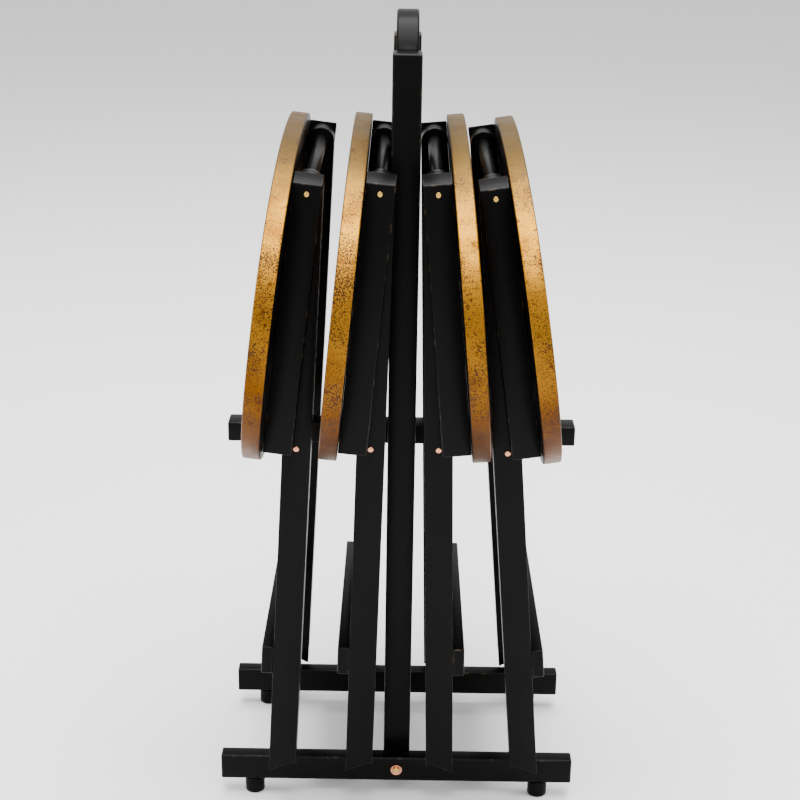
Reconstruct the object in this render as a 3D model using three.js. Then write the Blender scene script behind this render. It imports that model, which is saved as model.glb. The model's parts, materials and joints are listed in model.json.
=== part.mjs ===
// Set of four folding tray tables stored on a carry rack.
// Millimetres, +Z up, +X to the right, +Y to the back. The origin is on the floor, under the middle.
import * as THREE from "three";

// ---- driving dimensions: rack -------------------------------------------------------------
const RACK_WIDTH = 382; // length of each foot bar, along X
const RACK_CLEARANCE = 2; // foot bars to the inner legs of the tables, along Y
const FOOT_BAR = { thick: 17, high: 28.5, bottom: 17.5 };
const GLIDE = { radius: 10.5, inset: 36, drop: 0.3 }; // turned glides under the foot bars
const POST_SIZE = 28.4; // square posts
const POST_ABOVE = 78; // posts above the stored trays
const HANDLE = { thick: 22, rise: 32, below: 46, cheek: 13.5, gripHigh: 30, gripDrop: 20 };
const ARM = { length: 377, deep: 27, high: 21.5, clear: 12.3 }; // cross arm, in front of the back post
const FOOT_LIFT = 49; // feet of a table above the floor, if it hung upright
const RAIL = { thick: 20, high: 30, baseBottom: 20 }; // rails between the posts

// ---- driving dimensions: one table --------------------------------------------------------
const TRAY_LENGTH = 506; // long axis of the oval top, along Y
const TRAY_WIDTH = 333; // short axis of the oval top
const TRAY_THICK = 18;
const TRAY_FULLNESS = 2.24; // 2 is a true ellipse, more is squarer
const TRAY_OVERHANG = 38; // tray edge past the leg pivot
const CLEAT = { inset: 7.8, thick: 20, past: 9.5, bevel: 7 }; // battens under the tray
const LEG_WIDTH = 28.4;
const LEG_THICK = 13;
const LEG_REACH = 635; // pivot to the tip of the foot
const CROSS_AT = 262; // pivot to the crossing rivet
const FOOT_ANGLE = 25; // slant of the foot cut, so the foot is flat when the table stands
const TABLE_SPAN = 260; // over the outer faces of the outer legs, along Y
const OUTER_STRETCHER = { thick: 12, high: 31, fromFoot: 118 };
const INNER_STRETCHER = { thick: 12, high: 31, fromFoot: 118 };
const DOWEL_RADIUS = 7;
const RIVET = { radius: 2.3, head: 3, headHigh: 1.2 };

// ---- clearances ---------------------------------------------------------------------------
const GAP = 0.3; // between pieces that touch or are glued
const RUN = 0.5; // between pieces that swing past each other
const REST = 0.3; // tray edge above the cross arm
const BORE_PLAY = 0.3;
const FOLD_CLEAR = 0.62; // stored cleats past the heads of the crossing rivets
const EASE = 1.2; // small chamfer along sawn edges

// How each table hangs: its clearance at pivot height and how far its legs lean outwards. An
// inner table clears the posts with its dowel, an outer one clears the tray of the inner one.
const HANGING = [
  { name: "left_inner", side: -1, outer: false, clear: 2.5, legLean: 1.5 },
  { name: "left_outer", side: -1, outer: true, clear: 21.1, legLean: 2.8 },
  { name: "right_inner", side: 1, outer: false, clear: 9.3, legLean: 1.4 },
  { name: "right_outer", side: 1, outer: true, clear: 6.3, legLean: 4.8 },
];

// ---- finishes -----------------------------------------------------------------------------
const lacquer = new THREE.MeshStandardMaterial({ color: 0x14110f, roughness: 0.35, metalness: 0 });
const goldLeaf = new THREE.MeshStandardMaterial({ color: 0xc2903c, roughness: 0.4, metalness: 0.7 });
const brass = new THREE.MeshStandardMaterial({ color: 0xc58a5a, roughness: 0.3, metalness: 1 });

const radians = THREE.MathUtils.degToRad;
const object = new THREE.Group();

function add(parent, name, geometry, material) {
  const mesh = new THREE.Mesh(geometry, material);
  mesh.name = name;
  parent.add(mesh);
  return mesh;
}

// An outline extruded with chamfered rims. The outline keeps its own size.
function board(outline, thick, ease = EASE, steps = 1) {
  return new THREE.ExtrudeGeometry(outline, {
    depth: thick - 2 * ease,
    bevelEnabled: ease > 0,
    bevelThickness: ease,
    bevelSize: ease,
    bevelOffset: -ease,
    bevelSegments: steps,
    curveSegments: 8,
  }).translate(0, 0, ease);
}

// A board whose outline is drawn in X and Z, from y0 to y0 + thick.
function boardAcross(outline, thick, y0, ease = EASE) {
  return board(outline, thick, ease).rotateX(Math.PI / 2).translate(0, y0 + thick, 0);
}

// A board whose outline is drawn in Y and Z, from x0 to x0 + thick.
function boardAlong(outline, thick, x0, ease = EASE, steps = 1) {
  return board(outline, thick, ease, steps)
    .rotateX(Math.PI / 2)
    .rotateZ(Math.PI / 2)
    .translate(x0, 0, 0);
}

function rectangle(left, bottom, right, top) {
  return new THREE.Shape([
    new THREE.Vector2(left, bottom),
    new THREE.Vector2(right, bottom),
    new THREE.Vector2(right, top),
    new THREE.Vector2(left, top),
  ]);
}

// ---- places shared by the rack and the tables ---------------------------------------------
const outerLegFace = TABLE_SPAN / 2;
const innerLegFace = outerLegFace - LEG_THICK - RUN;
const legsInside = innerLegFace - LEG_THICK; // half the clear width inside the inner legs
const trayLow = TRAY_WIDTH - TRAY_OVERHANG; // tray edge below the pivot
const trayInner = LEG_WIDTH / 2 + GAP; // underside of the tray, outwards from the pivot
// Degrees between a stored tray and its legs, set by the cleats that lie beside the rivets.
const trayToLegs = THREE.MathUtils.radToDeg(
  Math.asin((LEG_WIDTH / 2 + RIVET.head + FOLD_CLEAR) / CROSS_AT),
);
const armTop = LEG_REACH + FOOT_LIFT - trayLow;
const postTop = armTop + TRAY_WIDTH + POST_ABOVE;

// ---- rack ---------------------------------------------------------------------------------
const rackReach = legsInside - RACK_CLEARANCE; // outer face of each foot bar
const footTop = FOOT_BAR.bottom + FOOT_BAR.high;
const postFace = rackReach - FOOT_BAR.thick - GAP; // outer face of each post
const postInner = postFace - POST_SIZE;
const railReach = postInner - GAP; // half the length of the rails between the posts

// Half of a glide's section: a stem disc under the bar and a rounded foot.
function glide() {
  const high = FOOT_BAR.bottom - GLIDE.drop;
  const soft = 5;
  const section = new THREE.Path();
  section.moveTo(0, 0);
  section.lineTo(GLIDE.radius - soft, 0);
  section.absarc(GLIDE.radius - soft, soft, soft, -Math.PI / 2, 0, false);
  section.lineTo(GLIDE.radius, high - soft);
  section.absarc(GLIDE.radius - soft, high - soft, soft, 0, Math.PI / 2, false);
  section.lineTo(0, high);
  return new THREE.LatheGeometry(section.getPoints(5), 24).rotateX(Math.PI / 2);
}

for (const [end, sign] of [["front", -1], ["back", 1]]) {
  const barStart = sign < 0 ? -rackReach : rackReach - FOOT_BAR.thick;
  const barOutline = rectangle(-RACK_WIDTH / 2, FOOT_BAR.bottom, RACK_WIDTH / 2, footTop);
  add(object, `${end}_foot_bar`, boardAcross(barOutline, FOOT_BAR.thick, barStart), lacquer);

  const postStart = sign < 0 ? -postFace : postInner;
  const postOutline = rectangle(-POST_SIZE / 2, FOOT_BAR.bottom, POST_SIZE / 2, postTop);
  add(object, `${end}_post`, boardAcross(postOutline, POST_SIZE, postStart), lacquer);

  for (const [hand, way] of [["left", -1], ["right", 1]]) {
    const foot = add(object, `${end}_${hand}_glide`, glide(), lacquer);
    foot.position.set(way * (RACK_WIDTH / 2 - GLIDE.inset), barStart + FOOT_BAR.thick / 2, 0);
  }
}

// Handle: a board between the posts with an arched top and a round-ended grip slot.
function handleOutline() {
  const radius = (railReach ** 2 + HANDLE.rise ** 2) / (2 * HANDLE.rise);
  const half = Math.asin(railReach / radius);
  const outline = new THREE.Shape();
  outline.moveTo(-railReach, postTop - HANDLE.below);
  outline.lineTo(railReach, postTop - HANDLE.below);
  outline.lineTo(railReach, postTop);
  outline.absarc(0, postTop + HANDLE.rise - radius, radius, Math.PI / 2 - half, Math.PI / 2 + half, false);
  const slotRadius = HANDLE.gripHigh / 2;
  const slotHalf = railReach - HANDLE.cheek - slotRadius;
  const slotZ = postTop + HANDLE.rise - HANDLE.gripDrop - slotRadius;
  const slot = new THREE.Path();
  slot.absarc(slotHalf, slotZ, slotRadius, -Math.PI / 2, Math.PI / 2, false);
  slot.absarc(-slotHalf, slotZ, slotRadius, Math.PI / 2, 1.5 * Math.PI, false);
  outline.holes.push(slot);
  return outline;
}
add(object, "carry_handle", boardAlong(handleOutline(), HANDLE.thick, -HANDLE.thick / 2, 4, 3), lacquer);

const armBottom = armTop - ARM.high;
const baseRail = rectangle(-railReach, RAIL.baseBottom, railReach, RAIL.baseBottom + RAIL.high);
const armRail = rectangle(-railReach, armBottom - GAP - RAIL.high, railReach, armBottom - GAP);
add(object, "base_rail", boardAlong(baseRail, RAIL.thick, -RAIL.thick / 2), lacquer);
add(object, "arm_rail", boardAlong(armRail, RAIL.thick, -RAIL.thick / 2), lacquer);

const armOutline = rectangle(-ARM.length / 2, armBottom, ARM.length / 2, armTop);
add(object, "cross_arm", boardAcross(armOutline, ARM.deep, postInner - ARM.clear - ARM.deep), lacquer);

// ---- tables -------------------------------------------------------------------------------
// A table is drawn hanging from its leg pivot, which is its local origin: the tray is on the
// outward side and everything reaches down along -Z.
const trayMiddle = TRAY_OVERHANG - TRAY_WIDTH / 2;

function ovalOutline() {
  const points = [];
  const corners = 72;
  const power = 2 / TRAY_FULLNESS;
  for (let i = 0; i < corners; i++) {
    const turn = (2 * Math.PI * i) / corners;
    const along = Math.sign(Math.cos(turn)) * Math.abs(Math.cos(turn)) ** power;
    const up = Math.sign(Math.sin(turn)) * Math.abs(Math.sin(turn)) ** power;
    points.push(new THREE.Vector2((along * TRAY_LENGTH) / 2, trayMiddle + (up * TRAY_WIDTH) / 2));
  }
  return new THREE.Shape(points);
}

// Half the width of the tray at a distance along from its middle.
function halfTray(along) {
  const share = (2 * along) / TRAY_LENGTH;
  return (TRAY_WIDTH / 2) * (1 - share ** TRAY_FULLNESS) ** (1 / TRAY_FULLNESS);
}

// Batten with its top end sloped down towards the outside. The end sign is -1 at the front.
function cleatOutline(sign) {
  const inner = outerLegFace + RUN;
  const outer = inner + CLEAT.thick;
  const low = trayMiddle - halfTray(outer) + CLEAT.inset;
  return new THREE.Shape([
    new THREE.Vector2(sign * inner, low),
    new THREE.Vector2(sign * outer, low),
    new THREE.Vector2(sign * outer, CLEAT.past),
    new THREE.Vector2(sign * inner, CLEAT.past + CLEAT.bevel),
  ]);
}

// Leg with a round top about the pivot, a slanted foot and a bore at the crossing.
// low is +1 when the tip of the foot is at +X, and -1 when it is at -X.
function legOutline(low) {
  const half = LEG_WIDTH / 2;
  const heel = LEG_REACH - LEG_WIDTH * Math.tan(radians(FOOT_ANGLE));
  const outline = new THREE.Shape();
  outline.moveTo(-half, low < 0 ? -LEG_REACH : -heel);
  outline.lineTo(half, low < 0 ? -heel : -LEG_REACH);
  outline.lineTo(half, 0);
  outline.absarc(0, 0, half, 0, Math.PI, false);
  const bore = new THREE.Path();
  bore.absarc(0, -CROSS_AT, RIVET.radius + BORE_PLAY, 0, 2 * Math.PI, true);
  outline.holes.push(bore);
  return outline;
}

// Rivet through one pair of legs, with a domed head on the outside and a flat collar inside.
function rivet(shank) {
  const section = [
    new THREE.Vector2(0, -RIVET.headHigh),
    new THREE.Vector2(RIVET.head, -RIVET.headHigh),
    new THREE.Vector2(RIVET.head, 0),
    new THREE.Vector2(RIVET.radius, 0),
    new THREE.Vector2(RIVET.radius, shank),
    new THREE.Vector2(RIVET.head, shank),
    new THREE.Vector2(RIVET.head * 0.8, shank + RIVET.headHigh * 0.7),
    new THREE.Vector2(0, shank + RIVET.headHigh),
  ];
  return new THREE.LatheGeometry(section, 16);
}

const innerFrom = POST_SIZE / 2 + DOWEL_RADIUS;
const outerFrom = trayInner + TRAY_THICK + LEG_WIDTH / 2;
const places = { "-1": 0, 1: 0 };

for (const { name, side, outer, clear, legLean } of HANGING) {
  const lean = legLean + trayToLegs;
  const drop = trayLow * Math.cos(radians(lean)) - trayInner * Math.sin(radians(lean));
  places[side] += clear + (outer ? outerFrom : innerFrom);
  const pivot = new THREE.Vector3(side * places[side], 0, armTop + REST + drop);

  const top = new THREE.Group();
  top.position.copy(pivot);
  top.rotation.y = -side * radians(lean);
  object.add(top);

  const trayStart = side > 0 ? trayInner : -trayInner - TRAY_THICK;
  add(top, `${name}_tray`, boardAlong(ovalOutline(), TRAY_THICK, trayStart, 3, 2), goldLeaf);

  const legs = new THREE.Group();
  legs.position.copy(pivot);
  legs.rotation.y = -side * radians(legLean);
  object.add(legs);

  for (const [end, sign] of [["front", -1], ["back", 1]]) {
    const cleat = boardAlong(cleatOutline(sign), LEG_WIDTH, -LEG_WIDTH / 2);
    add(top, `${name}_${end}_cleat`, cleat, lacquer);

    const outerStart = sign < 0 ? -outerLegFace : outerLegFace - LEG_THICK;
    const outerLeg = boardAcross(legOutline(side), LEG_THICK, outerStart);
    add(legs, `${name}_${end}_outer_leg`, outerLeg, lacquer);

    const innerStart = sign < 0 ? -innerLegFace : innerLegFace - LEG_THICK;
    const innerLeg = boardAcross(legOutline(-side), LEG_THICK, innerStart);
    add(legs, `${name}_${end}_inner_leg`, innerLeg, lacquer);

    const shank = outerLegFace - legsInside + 2 * GAP;
    const pin = rivet(shank).rotateX(sign > 0 ? 0 : Math.PI);
    pin.translate(0, sign * (legsInside - GAP), -CROSS_AT);
    add(legs, `${name}_${end}_rivet`, pin, brass);
  }

  // Stretcher on the outward edges of the outer legs.
  const outerLow = OUTER_STRETCHER.fromFoot - LEG_REACH;
  const outerBar = rectangle(-outerLegFace, outerLow, outerLegFace, outerLow + OUTER_STRETCHER.high);
  const edge = LEG_WIDTH / 2 + GAP;
  const outerX = side > 0 ? edge : -edge - OUTER_STRETCHER.thick;
  add(legs, `${name}_outer_stretcher`, boardAlong(outerBar, OUTER_STRETCHER.thick, outerX), lacquer);

  // Stretcher between the inner legs.
  const reach = legsInside - GAP;
  const innerLow = INNER_STRETCHER.fromFoot - LEG_REACH;
  const innerBar = rectangle(-reach, innerLow, reach, innerLow + INNER_STRETCHER.high);
  const innerX = -INNER_STRETCHER.thick / 2;
  add(legs, `${name}_inner_stretcher`, boardAlong(innerBar, INNER_STRETCHER.thick, innerX), lacquer);

  const dowel = new THREE.CylinderGeometry(DOWEL_RADIUS, DOWEL_RADIUS, 2 * reach, 24);
  add(legs, `${name}_top_dowel`, dowel, lacquer);
}

export default object;
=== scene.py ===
import json
import math

import bpy
from mathutils import Matrix, Vector


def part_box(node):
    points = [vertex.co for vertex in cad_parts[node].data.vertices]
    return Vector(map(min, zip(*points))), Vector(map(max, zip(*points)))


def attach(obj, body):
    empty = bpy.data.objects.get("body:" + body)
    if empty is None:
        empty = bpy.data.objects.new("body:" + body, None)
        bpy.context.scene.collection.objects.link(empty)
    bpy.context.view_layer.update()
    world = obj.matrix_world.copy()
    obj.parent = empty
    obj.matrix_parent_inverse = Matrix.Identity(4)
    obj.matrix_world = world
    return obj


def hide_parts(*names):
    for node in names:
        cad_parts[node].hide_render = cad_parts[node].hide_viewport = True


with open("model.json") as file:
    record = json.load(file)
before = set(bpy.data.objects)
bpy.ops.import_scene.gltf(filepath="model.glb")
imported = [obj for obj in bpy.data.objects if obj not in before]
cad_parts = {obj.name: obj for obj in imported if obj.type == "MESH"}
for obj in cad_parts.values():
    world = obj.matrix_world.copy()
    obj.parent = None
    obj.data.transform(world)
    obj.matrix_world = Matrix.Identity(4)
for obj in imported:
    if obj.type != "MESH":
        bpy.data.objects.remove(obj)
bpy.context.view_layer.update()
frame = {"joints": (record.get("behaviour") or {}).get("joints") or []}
bpy.ops.object.select_all(action="DESELECT")

MM = 0.001


# ---- camera -------------------------------------------------------------------------------
# Eye level a little above the handle, about a metre and a half in front of the rack and
# looking down on it. The camera is tipped very slightly to one side.
eye = Vector((-0.0022, -1.6028, 1.0158))
down_tilt = math.radians(20.26)
roll = math.radians(0.9)
camera_data = bpy.data.cameras.new("camera")
camera_data.sensor_width = 36.0
camera_data.lens = 72.1
camera = bpy.data.objects.new("camera", camera_data)
bpy.context.scene.collection.objects.link(camera)
turn = Matrix.Rotation(math.pi / 2 - down_tilt, 4, "X") @ Matrix.Rotation(roll, 4, "Z")
camera.matrix_world = Matrix.Translation(eye) @ turn
bpy.context.scene.camera = camera


# ---- floor and light ----------------------------------------------------------------------
# Matt white studio floor under a large overhead softbox, with weaker panels on both sides.
# A small high panel in front gives the gilded rims their bright band.
def linear(hex_colour):
    channels = [int(hex_colour[i : i + 2], 16) / 255 for i in (1, 3, 5)]
    return [c / 12.92 if c <= 0.04045 else ((c + 0.055) / 1.055) ** 2.4 for c in channels] + [1.0]


def node(tree, kind, inputs=None, **settings):
    """Adds a node. Each input is given a plain value or the socket that feeds it."""
    made = tree.nodes.new(kind)
    for name, setting in settings.items():
        setattr(made, name, setting)
    for name, source in (inputs or {}).items():
        if isinstance(source, bpy.types.NodeSocket):
            tree.links.new(source, made.inputs[name])
        else:
            made.inputs[name].default_value = source
    return made


FIRST, SECOND, MIXED = 6, 7, 2  # the colour sockets of a Mix node


def start_finish(name):
    finish = bpy.data.materials.new(name)
    finish.use_nodes = True
    finish.node_tree.nodes.clear()
    tree = finish.node_tree
    where = node(tree, "ShaderNodeTexCoord").outputs["Object"]
    return finish, tree, where


def matt_white_paint():
    """Matt emulsion on a studio floor: no gloss, and clouds too faint to notice."""
    finish, tree, where = start_finish("matt_white_paint")
    cloud_wide = 330 * MM
    cloud = node(tree, "ShaderNodeTexNoise", {"Vector": where, "Scale": 1 / cloud_wide})
    tints = {"Factor": cloud.outputs["Fac"], FIRST: linear("#FBFBFA"), SECOND: linear("#FEFEFD")}
    tint = node(tree, "ShaderNodeMix", tints, data_type="RGBA")
    surface = {"Base Color": tint.outputs[MIXED], "Roughness": 0.9}
    paint = node(tree, "ShaderNodeBsdfPrincipled", surface)
    node(tree, "ShaderNodeOutputMaterial", {"Surface": paint.outputs[0]})
    return finish


floor_wide, floor_drop = 40.0, 0.2 * MM
bpy.ops.mesh.primitive_plane_add(size=floor_wide, location=(0, 0, -floor_drop))
floor = bpy.context.object
floor.name = "floor"
floor.data.materials.append(matt_white_paint())

world = bpy.data.worlds.new("studio")
world.use_nodes = True
world.node_tree.nodes["Background"].inputs["Color"].default_value = (1, 1, 1, 1)
world.node_tree.nodes["Background"].inputs["Strength"].default_value = 1.0
bpy.context.scene.world = world


def softbox(name, place, aim, width, power):
    lamp = bpy.data.lights.new(name, "AREA")
    lamp.shape = "SQUARE"
    lamp.size = width
    lamp.energy = power
    holder = bpy.data.objects.new(name, lamp)
    bpy.context.scene.collection.objects.link(holder)
    facing = (Vector(aim) - Vector(place)).to_track_quat("-Z", "Y").to_matrix().to_4x4()
    holder.matrix_world = Matrix.Translation(place) @ facing


softbox("overhead", (0.0, 0.3, 3.2), (0, 0, 0.3), 2.6, 230)
softbox("left_panel", (-2.6, -1.2, 1.7), (0, 0, 0.5), 1.4, 24)
softbox("right_panel", (2.6, -1.2, 1.7), (0, 0, 0.5), 1.4, 20)
softbox("front_panel", (0.0, -1.5, 2.7), (0, -0.1, 0.6), 0.6, 24)


# ---- rack bars, posts and rails -----------------------------------------------------------
# Planed hardwood sticks with softly broken edges, glued and screwed into a light frame.
# The frame is sprayed with black satin lacquer, which is rubbed thin along the edges; the edges also carry a
# painted highlight.
def satin_black_lacquer(grain):
    """Satin nitrocellulose lacquer on open-pored wood: near black, with a low sheen that is
    broken up by fine lines along the grain."""
    finish, tree, where = start_finish(f"satin_black_lacquer_{grain}_grain")
    pore_wide, pore_long = 1.2 * MM, 30 * MM
    stretch = [1 / pore_long if axis == grain else 1 / pore_wide for axis in "XYZ"]
    along = node(tree, "ShaderNodeMapping", {"Vector": where, "Scale": stretch})
    streaks = {"Vector": along.outputs[0], "Scale": 1.0, "Detail": 3.0}
    pores = node(tree, "ShaderNodeTexNoise", streaks).outputs["Fac"]
    cloud_wide = 45 * MM
    clouds = {"Vector": where, "Scale": 1 / cloud_wide, "Detail": 2.0}
    cloud = node(tree, "ShaderNodeTexNoise", clouds)
    blacks = {"Factor": cloud.outputs["Fac"], FIRST: linear("#050404"), SECOND: linear("#0A0909")}
    tone = node(tree, "ShaderNodeMix", blacks, data_type="RGBA")
    sheen = node(tree, "ShaderNodeMapRange", {"Value": pores, "To Min": 0.24, "To Max": 0.38})
    pore_deep = 0.15 * MM
    relief = node(tree, "ShaderNodeBump", {"Height": pores, "Strength": 0.16, "Distance": pore_deep})
    surface = {
        "Base Color": tone.outputs[MIXED],
        "Roughness": sheen.outputs[0],
        "Specular IOR Level": 0.06,
        "Normal": relief.outputs[0],
    }
    coat = node(tree, "ShaderNodeBsdfPrincipled", surface)
    node(tree, "ShaderNodeOutputMaterial", {"Surface": coat.outputs[0]})
    return finish


def worn_and_highlit_lacquer():
    """Lacquer on an edge: warm brown broken patches, partly primer showing through where it is worn thin and
    partly a painted highlight along the edge.
    """
    finish, tree, where = start_finish("rubbed_lacquer_edge")
    patch_wide = 9 * MM
    patches = {"Vector": where, "Scale": 1 / patch_wide, "Detail": 4.0}
    patch = node(tree, "ShaderNodeTexNoise", patches).outputs["Fac"]
    # Part wear and part painted highlight: the brown patches on the bevelled edges also stand in for the
    # light caught along them.
    wear_and_highlight = node(tree, "ShaderNodeMapRange", {"Value": patch, "From Min": 0.56, "From Max": 0.74})
    browns = {"Factor": wear_and_highlight.outputs[0], FIRST: linear("#0A0908"), SECOND: linear("#463A2D")}
    tone = node(tree, "ShaderNodeMix", browns, data_type="RGBA")
    surface = {"Base Color": tone.outputs[MIXED], "Roughness": 0.34, "Specular IOR Level": 0.12}
    coat = node(tree, "ShaderNodeBsdfPrincipled", surface)
    node(tree, "ShaderNodeOutputMaterial", {"Surface": coat.outputs[0]})
    return finish


lacquer = {axis: satin_black_lacquer(axis) for axis in "XYZ"}
# The edge finish paints a highlight along the broken edges, as well as wear.
worn_and_highlit_edge = worn_and_highlit_lacquer()
smooth_below = math.radians(32)


def pick_up(piece):
    bpy.ops.object.select_all(action="DESELECT")
    piece.select_set(True)
    bpy.context.view_layer.objects.active = piece


def settle(piece):
    """Puts the piece's place into its mesh."""
    pick_up(piece)
    bpy.ops.object.transform_apply(location=True, rotation=True, scale=True)


def block(low, high):
    bpy.ops.object.select_all(action="DESELECT")
    bpy.ops.mesh.primitive_cube_add(size=1.0, location=(Vector(low) + Vector(high)) / 2)
    piece = bpy.context.object
    piece.scale = Vector(high) - Vector(low)
    settle(piece)
    return piece


def stick(low, high, grain):
    """A planed, lacquered length of wood between two corners, its edges not yet broken."""
    piece = block(low, high)
    piece.data.materials.append(lacquer[grain])
    piece.data.materials.append(worn_and_highlit_edge)
    return piece


def break_edges(piece, width, steps=3, edge_slot=1, sharper_than=35):
    rounding = piece.modifiers.new("broken_edges", "BEVEL")
    rounding.width = width
    rounding.segments = steps
    rounding.limit_method = "ANGLE"
    rounding.angle_limit = math.radians(sharper_than)
    rounding.material = edge_slot
    pick_up(piece)
    bpy.ops.object.modifier_apply(modifier=rounding.name)
    bpy.ops.object.shade_smooth_by_angle(angle=smooth_below)


def fit_copy(pattern, name, place, body, cad_node=None):
    """A copy of a finished piece with its own mesh, moved to its place and fixed to its body."""
    pick_up(pattern)
    bpy.ops.object.duplicate(linked=False)
    piece = bpy.context.object
    piece.name = name
    piece.matrix_world = place
    settle(piece)
    if cad_node:
        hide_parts(cad_node)
    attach(piece, body)


rack_edge = 1.5 * MM
rack_sticks = [
    ("X", ["front_foot_bar", "back_foot_bar"]),
    ("Z", ["front_post", "back_post"]),
    ("Y", ["base_rail", "arm_rail"]),
    ("X", ["cross_arm"]),
]
for grain, alike in rack_sticks:
    low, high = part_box(alike[0])
    pattern = stick(low, high, grain)
    break_edges(pattern, rack_edge)
    for cad_name in alike:
        place = Matrix.Translation(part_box(cad_name)[0] - low)
        fit_copy(pattern, f"wood_{cad_name}", place, "rack", cad_name)
    bpy.data.objects.remove(pattern)


# ---- carry handle -------------------------------------------------------------------------
# A board between the tops of the posts, sawn to an arch, with a round-ended slot for the
# fingers. Every edge is rounded over with a router, so it is kind to the hand.
def cut(piece, tool, operation="DIFFERENCE"):
    saw = piece.modifiers.new("cut", "BOOLEAN")
    saw.operation = operation
    saw.solver = "EXACT"
    saw.object = tool
    pick_up(piece)
    bpy.ops.object.modifier_apply(modifier=saw.name)
    bpy.data.objects.remove(tool)


def round_bar(axis, radius, length, middle, sides):
    turned = {"X": (0, math.pi / 2, 0), "Y": (math.pi / 2, 0, 0), "Z": (0, 0, 0)}[axis]
    bpy.ops.object.select_all(action="DESELECT")
    bpy.ops.mesh.primitive_cylinder_add(
        vertices=sides, radius=radius, depth=length, location=middle, rotation=turned
    )
    settle(bpy.context.object)
    return bpy.context.object


handle_low, handle_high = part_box("carry_handle")
handle = stick(handle_low, handle_high, "Y")
handle.name = "wood_carry_handle"
rise = handle_high.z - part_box("front_post")[1].z
reach = (handle_high.y - handle_low.y) / 2
arch_radius = (reach**2 + rise**2) / (2 * rise)
through, handle_round = 100 * MM, 4 * MM
cut(handle, round_bar("X", arch_radius, through, (0, 0, handle_high.z - arch_radius), 256), "INTERSECT")
grip_high, grip_long, grip_drop = 30 * MM, 84 * MM, 20 * MM
grip_z = handle_high.z - grip_drop - grip_high / 2
grip_half = grip_long / 2 - grip_high / 2
for y in (-grip_half, grip_half):
    cut(handle, round_bar("X", grip_high / 2, through, (0, y, grip_z), 64))
slot_low = (-through / 2, -grip_half, grip_z - grip_high / 2)
slot_high = (through / 2, grip_half, grip_z + grip_high / 2)
cut(handle, block(slot_low, slot_high))
bpy.ops.object.mode_set(mode="EDIT")
bpy.ops.mesh.select_all(action="SELECT")
bpy.ops.mesh.remove_doubles(threshold=0.02 * MM)
bpy.ops.mesh.dissolve_limited(angle_limit=math.radians(0.2))
bpy.ops.object.mode_set(mode="OBJECT")
break_edges(handle, handle_round, 5, edge_slot=0, sharper_than=50)
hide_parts("carry_handle")
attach(handle, "rack")


# ---- glides -------------------------------------------------------------------------------
# Small turned buns, screwed under the ends of the foot bars. Each has a shallow groove
# turned into its neck and is lacquered with the rack.
def score(piece, place, direction):
    """Cuts a line of new edges round the whole piece."""
    pick_up(piece)
    bpy.ops.object.mode_set(mode="EDIT")
    bpy.ops.mesh.select_all(action="SELECT")
    bpy.ops.mesh.bisect(plane_co=place, plane_no=direction)
    bpy.ops.object.mode_set(mode="OBJECT")


def select_corners(piece, chosen):
    """Leaves the piece in edit mode, with the corners and edges that pass chosen selected."""
    pick_up(piece)
    bpy.ops.object.mode_set(mode="EDIT")
    bpy.ops.mesh.select_mode(type="VERT")
    bpy.ops.mesh.select_all(action="DESELECT")
    bpy.ops.object.mode_set(mode="OBJECT")
    for corner in piece.data.vertices:
        corner.select = chosen(corner.co)
    bpy.ops.object.mode_set(mode="EDIT")
    bpy.ops.mesh.select_mode(type="EDGE")


glide_low, glide_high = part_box("front_left_glide")
glide_middle = (glide_low + glide_high) / 2
glide_tall = glide_high.z - glide_low.z
glide_radius = (glide_high.x - glide_low.x) / 2
glide = round_bar("Z", glide_radius, glide_tall, glide_middle, 48)
glide.data.materials.append(lacquer["Z"])
groove_z = glide_low.z + 0.74 * glide_tall
groove_half, groove_deep, bun_round = 1.2 * MM, 1.3 * MM, 4 * MM
hair = 0.1 * MM
for z in (groove_z - groove_half, groove_z, groove_z + groove_half):
    score(glide, (0, 0, z), (0, 0, 1))
select_corners(glide, lambda co: abs(co.z - groove_z) < hair)
waist = 1 - groove_deep / glide_radius
neck = (glide_middle.x, glide_middle.y, groove_z)
bpy.ops.transform.resize(value=(waist, waist, 1), center_override=neck)
bpy.ops.object.mode_set(mode="OBJECT")
break_edges(glide, bun_round, 5, edge_slot=0, sharper_than=60)
for end in ("front", "back"):
    for hand in ("left", "right"):
        cad_name = f"{end}_{hand}_glide"
        place = Matrix.Translation(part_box(cad_name)[0] - glide_low)
        fit_copy(glide, f"turned_{cad_name}", place, "rack", cad_name)
bpy.data.objects.remove(glide)


# ---- foot bar bolts -----------------------------------------------------------------------
# A brass cap nut in a coppered cup washer holds each post to its foot bar, at the middle of
# the bar's outer face.
def polished_metal(name, bright, warm):
    """Drawn and polished copper alloy: a tight highlight, dulled by faint clouds of tarnish."""
    finish, tree, where = start_finish(name)
    cloud_wide = 2.5 * MM
    clouds = {"Vector": where, "Scale": 1 / cloud_wide, "Detail": 3.0}
    cloud = node(tree, "ShaderNodeTexNoise", clouds).outputs["Fac"]
    tones = {"Factor": cloud, FIRST: linear(bright), SECOND: linear(warm)}
    tone = node(tree, "ShaderNodeMix", tones, data_type="RGBA")
    gloss = node(tree, "ShaderNodeMapRange", {"Value": cloud, "To Min": 0.16, "To Max": 0.34})
    surface = {"Base Color": tone.outputs[MIXED], "Roughness": gloss.outputs[0], "Metallic": 1.0}
    metal = node(tree, "ShaderNodeBsdfPrincipled", surface)
    node(tree, "ShaderNodeOutputMaterial", {"Surface": metal.outputs[0]})
    return finish


brass = polished_metal("polished_brass", "#E8C46A", "#C9924A")
copper = polished_metal("coppered_steel", "#DDA183", "#B97457")


def raised_disc(radius, thick, face_y, z, metal):
    """A turned disc on the front of a piece, its back on the face at face_y."""
    disc = round_bar("Y", radius, thick, (0, face_y - thick / 2, z), 40)
    disc.data.materials.append(metal)
    return disc


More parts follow.
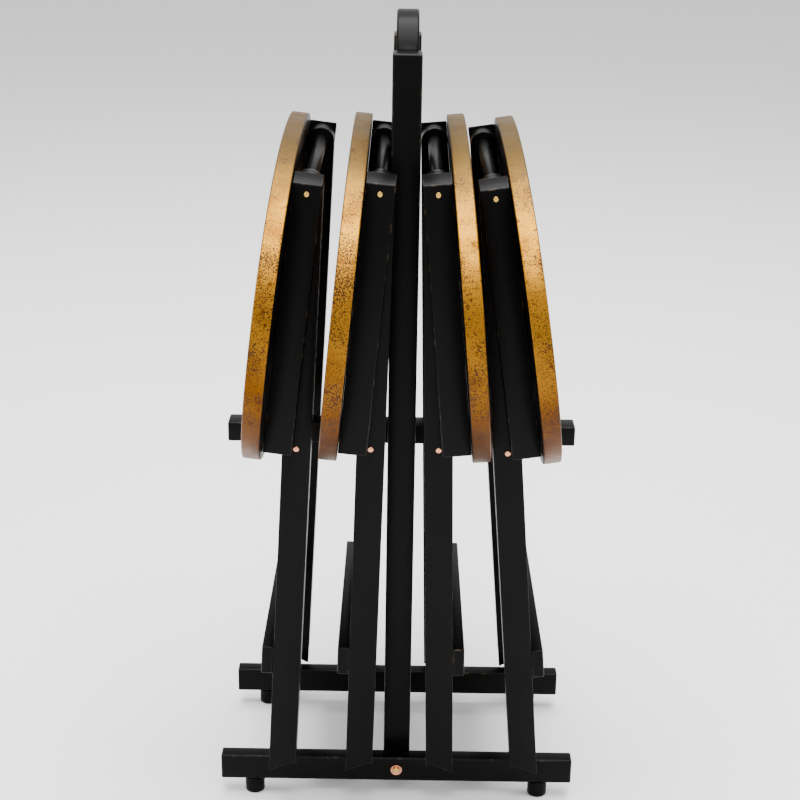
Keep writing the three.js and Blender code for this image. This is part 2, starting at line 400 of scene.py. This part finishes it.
bar_low, bar_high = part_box("front_foot_bar")
bolt_z = (bar_low.z + bar_high.z) / 2
washer_radius, washer_thick, washer_rim = 6.2 * MM, 1.6 * MM, 2.3 * MM
washer_dish, washer_edge = 0.9 * MM, 0.35 * MM
nut_radius, nut_high, nut_dome = 3.3 * MM, 2.6 * MM, 1.3 * MM
washer = raised_disc(washer_radius, washer_thick, bar_low.y, bolt_z, copper)
washer_front = bar_low.y - washer_thick
select_corners(washer, lambda co: abs(co.y - washer_front) < hair)
bpy.ops.mesh.select_mode(type="FACE")
bpy.ops.mesh.inset(thickness=washer_rim)
bpy.ops.transform.translate(value=(0, washer_dish, 0))
bpy.ops.object.mode_set(mode="OBJECT")
break_edges(washer, washer_edge, 3, edge_slot=0)
cap_nut = raised_disc(nut_radius, nut_high, bar_low.y, bolt_z, brass)
break_edges(cap_nut, nut_dome, 5, edge_slot=0)

half_turn = Matrix.Rotation(math.pi, 4, "Z")
ends = {"front": Matrix.Identity(4), "back": half_turn}
for end, turned in ends.items():
    fit_copy(washer, f"{end}_cup_washer", turned, "rack")
    fit_copy(cap_nut, f"{end}_cap_nut", turned, "rack")
bpy.data.objects.remove(washer)
bpy.data.objects.remove(cap_nut)


# ---- oval trays ---------------------------------------------------------------------------
# Oval board tops. Face and edge are gilded, then toned with brown glaze and spattered to
# look old; the underside is lacquered black. The gilt also carries painted shade, darker amber
# towards the low edge, and a painted greyish reflection along the top edge. Each hangs on
# the cross arm by its low edge.
def antiqued_gold_leaf():
    """Imitation gold leaf laid in lapped sheets: a soft metal sheen, clouded by glaze, with umber
    stains and fly-speck spatter. Painted shade makes it amber towards the low edge, and a
    painted reflection makes it greyish along the top edge."""
    finish, tree, where = start_finish("antiqued_gold_leaf")
    parts = node(tree, "ShaderNodeSeparateXYZ", {"Vector": where})
    height = parts.outputs["Z"]
    flat = node(tree, "ShaderNodeCombineXYZ", {"X": parts.outputs["Y"], "Y": height})
    sheet_wide, lap_wide = 80 * MM, 0.7 * MM
    laying = {
        "Vector": flat.outputs[0],
        "Scale": 1.0,
        "Brick Width": sheet_wide,
        "Row Height": sheet_wide,
        "Mortar Size": lap_wide,
        "Mortar Smooth": 0.8,
        "Color1": linear("#B57F1D"),
        "Color2": linear("#AB7618"),
        "Mortar": linear("#9F6D14"),
    }
    sheets = node(tree, "ShaderNodeTexBrick", laying, offset=0.5, squash=1.0)

    glaze_wide = 34 * MM
    glazes = {"Vector": where, "Scale": 1 / glaze_wide, "Detail": 6.0}
    glaze = node(tree, "ShaderNodeTexNoise", glazes).outputs["Fac"]
    pooling = {"Value": glaze, "From Min": 0.46, "From Max": 0.72, "To Max": 0.7}
    pooled = node(tree, "ShaderNodeMapRange", pooling)
    clouding = {"Factor": pooled.outputs[0], FIRST: sheets.outputs["Color"], SECOND: linear("#7C4A0C")}
    clouded = node(tree, "ShaderNodeMix", clouding, data_type="RGBA")

    # Painted shade: lower down, the gilt is mixed towards dark amber brown to stand in for the shade on the
    # low part of the rim.
    low_shade_from, low_shade_full = 620 * MM, 490 * MM
    low_shade_fade = {"Value": height, "From Min": low_shade_from, "From Max": low_shade_full, "To Max": 0.88}
    low_shade = node(tree, "ShaderNodeMapRange", low_shade_fade)
    low_shade_mix = {"Factor": low_shade.outputs[0], FIRST: clouded.outputs[MIXED], SECOND: linear("#4E2605")}
    shaded_low = node(tree, "ShaderNodeMix", low_shade_mix, data_type="RGBA")
    # Painted reflection: along the top edge, the gilt is mixed towards a dull greyish olive to stand in for
    # the light reflected there.
    top_reflection_from, top_reflection_full = 660 * MM, 705 * MM
    top_reflection_fade = {"Value": height, "From Min": top_reflection_from, "From Max": top_reflection_full, "To Max": 0.88}
    top_reflection = node(tree, "ShaderNodeMapRange", top_reflection_fade)
    top_reflection_mix = {"Factor": top_reflection.outputs[0], FIRST: shaded_low.outputs[MIXED], SECOND: linear("#54421A")}
    reflected_top = node(tree, "ShaderNodeMix", top_reflection_mix, data_type="RGBA")

    stain_wide = 9 * MM
    stains = {"Vector": where, "Scale": 1 / stain_wide, "Detail": 5.0}
    stain = node(tree, "ShaderNodeTexNoise", stains).outputs["Fac"]
    soaking = {"Value": stain, "From Min": 0.62, "From Max": 0.70, "To Max": 0.75}
    soaked = node(tree, "ShaderNodeMapRange", soaking)
    staining = {"Factor": soaked.outputs[0], FIRST: reflected_top.outputs[MIXED], SECOND: linear("#451A08")}
    stained = node(tree, "ShaderNodeMix", staining, data_type="RGBA")

    # Specks are thicker in crowds, and thin out towards the top edge.
    fleck_wide, crowd_wide = 1.2 * MM, 42 * MM
    specks = {"Vector": where, "Scale": 1 / fleck_wide, "Detail": 1.5}
    fleck = node(tree, "ShaderNodeTexNoise", specks).outputs["Fac"]
    crowds = {"Vector": where, "Scale": 1 / crowd_wide, "Detail": 2.0}
    crowd = node(tree, "ShaderNodeTexNoise", crowds).outputs["Fac"]
    crowding = {0: crowd, 1: 0.5, 2: fleck}
    crowded = node(tree, "ShaderNodeMath", crowding, operation="MULTIPLY_ADD")
    thin_from, thin_full = 655 * MM, 735 * MM
    thinning = {"Value": height, "From Min": thin_full, "From Max": thin_from}
    thinned = node(tree, "ShaderNodeMapRange", {**thinning, "To Min": -0.05, "To Max": 0.02})
    density = {0: crowded.outputs[0], 1: thinned.outputs[0]}
    dense = node(tree, "ShaderNodeMath", density, operation="ADD").outputs[0]
    spatter = {"Value": dense, "From Min": 0.825, "From Max": 0.87, "To Max": 0.9}
    flecks = node(tree, "ShaderNodeMapRange", spatter).outputs[0]
    spotting = {"Factor": flecks, FIRST: stained.outputs[MIXED], SECOND: linear("#2A1005")}
    spotted = node(tree, "ShaderNodeMix", spotting, data_type="RGBA")

    metal = node(tree, "ShaderNodeMapRange", {"Value": flecks, "To Min": 0.97, "To Max": 0.7})
    polish = {"Value": glaze, "From Min": 0.3, "From Max": 0.7, "To Min": 0.38, "To Max": 0.52}
    gloss = node(tree, "ShaderNodeMapRange", polish)
    wrinkle_wide, wrinkle_deep = 2.5 * MM, 0.2 * MM
    wrinkles = {"Vector": where, "Scale": 1 / wrinkle_wide, "Detail": 4.0}
    wrinkle = node(tree, "ShaderNodeTexNoise", wrinkles).outputs["Fac"]
    lifting = {"Height": wrinkle, "Strength": 0.1, "Distance": wrinkle_deep}
    relief = node(tree, "ShaderNodeBump", lifting)
    surface = {
        "Base Color": spotted.outputs[MIXED],
        "Metallic": metal.outputs[0],
        "Roughness": gloss.outputs[0],
        "Normal": relief.outputs[0],
    }
    leaf = node(tree, "ShaderNodeBsdfPrincipled", surface)
    node(tree, "ShaderNodeOutputMaterial", {"Surface": leaf.outputs[0]})
    return finish


gold_leaf = antiqued_gold_leaf()

# A table's pieces are drawn hanging straight down from its leg pivot, which is then the
# origin, with the tray's face towards +X. The part's record gives each pivot, and the
# crossing rivets show how far its legs lean.
leg_wide = 28.4 * MM
glue_gap = 0.3 * MM
tray_to_legs = math.radians(3.9)
tables = {}
for joint in frame["joints"]:
    if joint["type"] != "hinge":
        continue
    name = joint["child"].removesuffix("_legs")
    side = -1 if name.startswith("left") else 1
    pivot = Vector(joint["pos_m"])
    rivet_low, rivet_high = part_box(f"{name}_front_rivet")
    from_pivot = (rivet_low + rivet_high) / 2 - pivot
    lean = math.atan2(side * from_pivot.x, -from_pivot.z)
    tables[name] = {
        "faces_out": half_turn if side < 0 else Matrix.Identity(4),
        "faces_in": half_turn if side > 0 else Matrix.Identity(4),
        "legs": Matrix.Translation(pivot) @ Matrix.Rotation(-side * lean, 4, "Y"),
        "top": Matrix.Translation(pivot) @ Matrix.Rotation(-side * (lean + tray_to_legs), 4, "Y"),
    }

underside = leg_wide / 2 + glue_gap
tray_thick = 18 * MM
tray_long, tray_wide = 506 * MM, 333 * MM
tray_past_pivot, rim_round = 38 * MM, 1.6 * MM
tray_fullness = 2.24  # 2 is a true ellipse, and more is squarer
bpy.ops.object.select_all(action="DESELECT")
bpy.ops.mesh.primitive_circle_add(
    vertices=192, radius=1.0, fill_type="NGON", rotation=(0, math.pi / 2, 0)
)
tray = bpy.context.object
settle(tray)
power = 2 / tray_fullness
for corner in tray.data.vertices:
    along, up = corner.co.y, corner.co.z
    corner.co.x = underside
    corner.co.y = math.copysign(abs(along) ** power, along) * tray_long / 2
    corner.co.z = math.copysign(abs(up) ** power, up) * tray_wide / 2 + tray_past_pivot - tray_wide / 2
bpy.ops.object.mode_set(mode="EDIT")
bpy.ops.mesh.select_all(action="SELECT")
bpy.ops.mesh.extrude_region_move(TRANSFORM_OT_translate={"value": (tray_thick, 0, 0)})
bpy.ops.mesh.select_all(action="SELECT")
bpy.ops.mesh.normals_make_consistent(inside=False)
bpy.ops.object.mode_set(mode="OBJECT")
tray.data.materials.append(gold_leaf)
tray.data.materials.append(lacquer["Y"])
for face in tray.data.polygons:
    face.material_index = 1 if face.normal.x < -0.9 else 0
keep_material = -1
break_edges(tray, rim_round, 4, edge_slot=keep_material, sharper_than=50)
for table, hangs in tables.items():
    place = hangs["top"] @ hangs["faces_out"]
    fit_copy(tray, f"gilded_{table}_tray", place, f"{table}_top", f"{table}_tray")
bpy.data.objects.remove(tray)


# ---- cleats and their pivot screws --------------------------------------------------------
# Lacquered battens screwed up under each tray, with their top ends sloped back. A brass
# cross-head screw near the top of each is the pivot that the legs swing on.
cleat_inner, cleat_thick = 130.5 * MM, 20 * MM
cleat_outer = cleat_inner + cleat_thick
cleat_top, cleat_slope, cleat_long = 9.5 * MM, 7 * MM, 271 * MM
cleat_edge = 1.2 * MM
cleat_low = (-leg_wide / 2, -cleat_outer, cleat_top - cleat_long)
cleat_high = (leg_wide / 2, -cleat_inner, cleat_top + cleat_slope)
cleat = stick(cleat_low, cleat_high, "Z")
bpy.ops.object.mode_set(mode="EDIT")
bpy.ops.mesh.select_all(action="SELECT")
slope = Vector((0, -cleat_slope, cleat_thick))
outer_corner = (0, -cleat_outer, cleat_top)
bpy.ops.mesh.bisect(plane_co=outer_corner, plane_no=slope, use_fill=True, clear_outer=True)
bpy.ops.object.mode_set(mode="OBJECT")
break_edges(cleat, cleat_edge)

screw_radius, screw_dome, screw_round = 2.6 * MM, 1.0 * MM, 0.8 * MM
recess_long, recess_wide, recess_deep = 3.0 * MM, 0.6 * MM, 0.6 * MM
screw = raised_disc(screw_radius, screw_dome, -cleat_outer, 0, brass)
break_edges(screw, screw_round, 4, edge_slot=0)
screw_front = -cleat_outer - screw_dome
for wide, tall in ((recess_long, recess_wide), (recess_wide, recess_long)):
    blade_low = (-wide / 2, screw_front - recess_deep, -tall / 2)
    blade_high = (wide / 2, screw_front + recess_deep, tall / 2)
    cut(screw, block(blade_low, blade_high))

for table, hangs in tables.items():
    for end, turned in ends.items():
        place = hangs["top"] @ turned
        cad_name = f"{table}_{end}_cleat"
        fit_copy(cleat, f"wood_{cad_name}", place, f"{table}_top", cad_name)
        fit_copy(screw, f"{table}_{end}_pivot_screw", place, f"{table}_top")
bpy.data.objects.remove(cleat)
bpy.data.objects.remove(screw)


# ---- legs ---------------------------------------------------------------------------------
# Flat legs with half-round tops about the pivot, and feet sawn on the slant so that they
# stand flat when the table is open. The outer pair swings inside the cleats, and the inner
# pair inside the outer one.
leg_thick, leg_reach = 13 * MM, 635 * MM
foot_slant = math.radians(25)
foot_waste = 2 * MM
leg_edge = 1.2 * MM
leg_top = leg_wide / 2
leg_low = (-leg_wide / 2, -leg_thick / 2, -leg_reach - foot_waste)
leg_high = (leg_wide / 2, leg_thick / 2, leg_top)
leg = stick(leg_low, leg_high, "Z")
bpy.ops.object.mode_set(mode="EDIT")
bpy.ops.mesh.select_all(action="SELECT")
sole = Vector((-math.sin(foot_slant), 0, -math.cos(foot_slant)))
toe = (leg_wide / 2, 0, -leg_reach)
bpy.ops.mesh.bisect(plane_co=toe, plane_no=sole, use_fill=True, clear_outer=True)
bpy.ops.mesh.select_mode(type="EDGE")
bpy.ops.mesh.select_all(action="DESELECT")
bpy.ops.object.mode_set(mode="OBJECT")
for edge in leg.data.edges:
    a, b = (leg.data.vertices[i].co for i in edge.vertices)
    at_top = min(a.z, b.z) > leg_top - hair
    edge.select = at_top and abs(a.x - b.x) < hair
bpy.ops.object.mode_set(mode="EDIT")
nearly_half = leg_wide / 2 - 0.01 * MM
bpy.ops.mesh.bevel(offset=nearly_half, segments=16, profile=0.5, affect="EDGES")
bpy.ops.object.mode_set(mode="OBJECT")
break_edges(leg, leg_edge)

outer_leg_y = 130 * MM - leg_thick / 2
inner_leg_y = 116.5 * MM - leg_thick / 2
for table, hangs in tables.items():
    for end, outward in (("front", -1), ("back", 1)):
        for pair, leg_y, facing in (("outer", outer_leg_y, "faces_out"), ("inner", inner_leg_y, "faces_in")):
            place = hangs["legs"] @ Matrix.Translation((0, outward * leg_y, 0)) @ hangs[facing]
            cad_name = f"{table}_{end}_{pair}_leg"
            fit_copy(leg, f"wood_{cad_name}", place, f"{table}_legs", cad_name)
bpy.data.objects.remove(leg)


# ---- stretchers and top dowels ------------------------------------------------------------
# A flat rail across the outward edges of the outer legs ties them together. The inner legs
# are tied by a rail between them, and by a turned dowel at their tops.
legs_outside, legs_inside = 130 * MM, 103.5 * MM
rail_thick, rail_high, rail_up = 12 * MM, 31 * MM, 118 * MM
rail_z = rail_up - leg_reach
tie_reach = legs_inside - glue_gap
outer_low = (underside, -legs_outside, rail_z)
outer_high = (underside + rail_thick, legs_outside, rail_z + rail_high)
outer_stretcher = stick(outer_low, outer_high, "Y")
inner_low = (-rail_thick / 2, -tie_reach, rail_z)
inner_high = (rail_thick / 2, tie_reach, rail_z + rail_high)
inner_stretcher = stick(inner_low, inner_high, "Y")
break_edges(outer_stretcher, leg_edge)
break_edges(inner_stretcher, leg_edge)

dowel_radius, dowel_round = 7 * MM, 0.8 * MM
dowel = round_bar("Y", dowel_radius, 2 * tie_reach, (0, 0, 0), 48)
dowel.data.materials.append(lacquer["Y"])
dowel.data.materials.append(worn_and_highlit_edge)
break_edges(dowel, dowel_round, 2)

for table, hangs in tables.items():
    square = Matrix.Identity(4)
    ties = (
        (outer_stretcher, "wood", "outer_stretcher", hangs["faces_out"]),
        (inner_stretcher, "wood", "inner_stretcher", square),
        (dowel, "turned", "top_dowel", square),
    )
    for pattern, stock, part, turned in ties:
        name, cad_name = f"{stock}_{table}_{part}", f"{table}_{part}"
        place = hangs["legs"] @ turned
        fit_copy(pattern, name, place, f"{table}_legs", cad_name)
bpy.data.objects.remove(outer_stretcher)
bpy.data.objects.remove(inner_stretcher)
bpy.data.objects.remove(dowel)


# ---- crossing rivets ----------------------------------------------------------------------
# A coppered pin right through each outer and inner leg, its ends rounded over into low
# domes. The legs scissor on it when the table stands.
rivet_low, rivet_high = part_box("left_outer_front_rivet")
rivet_middle = (rivet_low + rivet_high) / 2
rivet_radius, rivet_round = (rivet_high.x - rivet_low.x) / 2, 0.7 * MM
rivet = round_bar("Y", rivet_radius, rivet_high.y - rivet_low.y, rivet_middle, 36)
rivet.data.materials.append(copper)
break_edges(rivet, rivet_round, 4, edge_slot=0, sharper_than=60)
for table in tables:
    for end in ends:
        cad_name = f"{table}_{end}_rivet"
        low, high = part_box(cad_name)
        place = Matrix.Translation((low + high) / 2 - rivet_middle)
        fit_copy(rivet, f"coppered_{cad_name}", place, f"{table}_legs", cad_name)
bpy.data.objects.remove(rivet)
